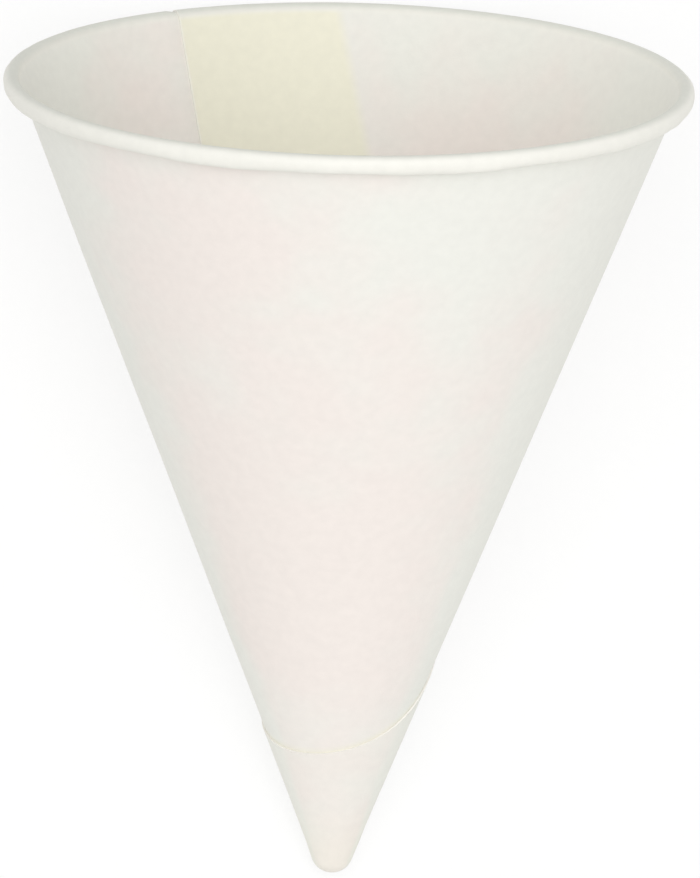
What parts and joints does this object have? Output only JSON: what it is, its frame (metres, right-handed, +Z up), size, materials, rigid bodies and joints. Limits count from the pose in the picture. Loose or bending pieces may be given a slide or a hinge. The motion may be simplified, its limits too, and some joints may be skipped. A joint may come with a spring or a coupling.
{
  "type": "cone paper cup",
  "caption": "Cone paper cup wound from one blank, with a wide glued side lap, a gathered round tip and a lip curled outward at the rim.",
  "frame": {"origin": "on the floor under the middle of the cup's box, with the cup lying on its side", "axes": "+Z up, +Y towards the mouth; the cup lies on the round of its tip and on its lip, with the heavier lapped side underneath, so its own axis rises 21.7 degrees from -Y to +Y"},
  "size_m": [0.073, 0.096, 0.0679],
  "materials": {
    "paper": "matte"
  },
  "bodies": {
    "root": {"cone_cup": "paper"}
  },
  "joints": []
}
